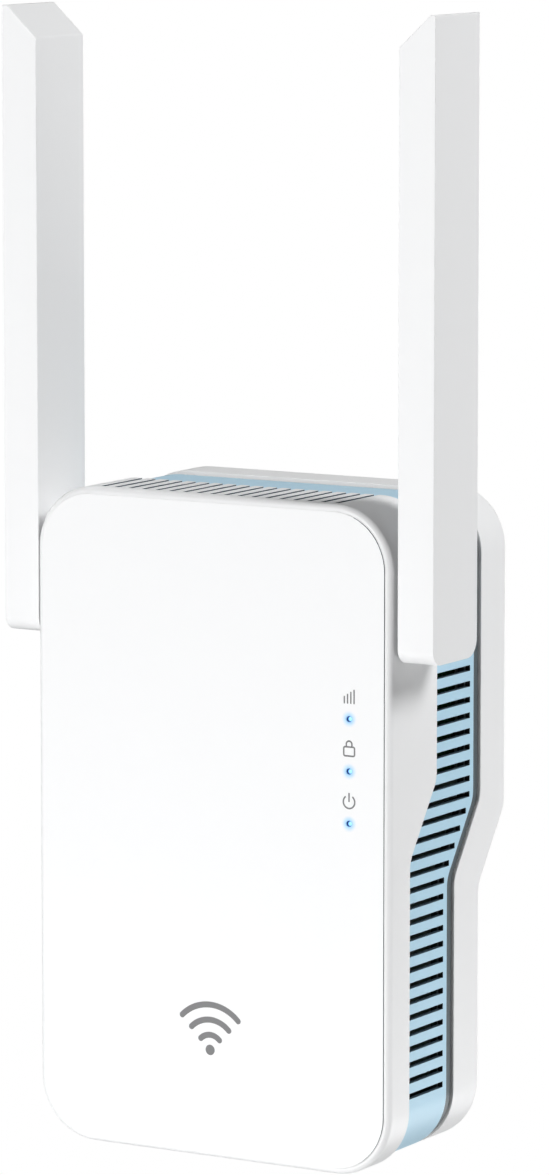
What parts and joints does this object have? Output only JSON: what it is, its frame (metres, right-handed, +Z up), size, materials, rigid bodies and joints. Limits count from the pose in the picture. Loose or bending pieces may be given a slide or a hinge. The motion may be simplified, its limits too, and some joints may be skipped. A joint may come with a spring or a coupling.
{
  "type": "wifi range extender",
  "caption": "Plug-in wireless range extender with a stepped, vented housing, a round mains plug, a network port and folding blade antennas.",
  "frame": {"origin": "centre of the mains plug on the plane of the housing's back face", "axes": "+X to the right seen from the front, +Y out of the back into the wall outlet, +Z up"},
  "size_m": [0.0936, 0.081, 0.2164],
  "materials": {
    "white_plastic": "satin moulded ABS",
    "blue_plastic": "satin pale blue moulded ABS",
    "grey_plastic": "fine matt dark grey",
    "black_plastic": "moulded black",
    "clear_plastic": "clear light guide, lit blue",
    "led_lens": "clear lens",
    "circuit_board": "green solder mask",
    "steel": "zinc plated",
    "nickel": "nickel plated brass",
    "aluminium": "plain extruded",
    "thermal_pad": "soft matt",
    "transformer_tape": "yellow tape",
    "copper_winding": "enamelled copper",
    "insulation_film": "translucent film",
    "label_silver": "blank silver label"
  },
  "bodies": {
    "housing": {"front_cover": "white_plastic", "vent_band": "blue_plastic", "seam_ring": "grey_plastic", "rear_shell": "white_plastic", "plug_base": "white_plastic", "pin_live": "nickel", "pin_neutral": "nickel", "contact_live": "nickel", "contact_neutral": "nickel", "rating_label": "label_silver", "case_screw_1": "steel", "case_screw_2": "steel", "case_screw_3": "steel", "case_screw_4": "steel", "board_screw_1": "steel", "board_screw_2": "steel", "board_screw_3": "steel", "board_screw_4": "steel", "main_board": "circuit_board", "shield_can_upper": "steel", "shield_can_lower": "steel", "thermal_pad": "thermal_pad", "heat_sink": "aluminium", "lan_magnetics": "black_plastic", "network_jack": "black_plastic", "pairing_switch": "black_plastic", "reset_switch": "black_plastic", "led_signal": "led_lens", "led_pairing": "led_lens", "led_power": "led_lens", "light_guide": "clear_plastic", "power_board": "circuit_board", "transformer": "transformer_tape", "bulk_capacitor_1": "black_plastic", "bulk_capacitor_2": "black_plastic", "output_capacitor": "black_plastic", "fuse": "black_plastic", "bridge_rectifier": "black_plastic", "filter_choke": "copper_winding", "insulation_sheet": "insulation_film", "board_link": "black_plastic", "coax_left_lead": "grey_plastic", "coax_right_lead": "grey_plastic", "coax_left_connector": "nickel", "coax_right_connector": "nickel"},
    "antenna_left": {"antenna_left_shell": "white_plastic", "antenna_left_rear_strip": "white_plastic", "antenna_left_element": "circuit_board", "antenna_left_feed": "grey_plastic", "hinge_clip_left": "steel", "hinge_washer_left": "nickel"},
    "antenna_right": {"antenna_right_shell": "white_plastic", "antenna_right_rear_strip": "white_plastic", "antenna_right_element": "circuit_board", "antenna_right_feed": "grey_plastic", "hinge_clip_right": "steel", "hinge_washer_right": "nickel"},
    "pairing_button": {"pairing_button": "white_plastic", "pairing_plunger": "black_plastic"},
    "reset_plunger": {"reset_plunger": "black_plastic"}
  },
  "joints": [
    {"name": "antenna_left_fold", "type": "hinge", "parent": "housing", "child": "antenna_left", "pos_m": [-0.0386, -0.0363, 0.0034], "axis": [1, 0, 0], "range_deg": [0, 180]},
    {"name": "antenna_right_fold", "type": "hinge", "parent": "housing", "child": "antenna_right", "pos_m": [0.0386, -0.0363, 0.0034], "axis": [1, 0, 0], "range_deg": [0, 180]},
    {"name": "pairing_button_press", "type": "slide", "parent": "housing", "child": "pairing_button", "axis": [0, 0, 1], "range_m": [0, 0.0005], "stiffness_N_per_m": 400, "springref_m": -0.0005},
    {"name": "reset_press", "type": "slide", "parent": "housing", "child": "reset_plunger", "axis": [0, 0, 1], "range_m": [0, 0.0003], "stiffness_N_per_m": 400, "springref_m": -0.0005}
  ]
}
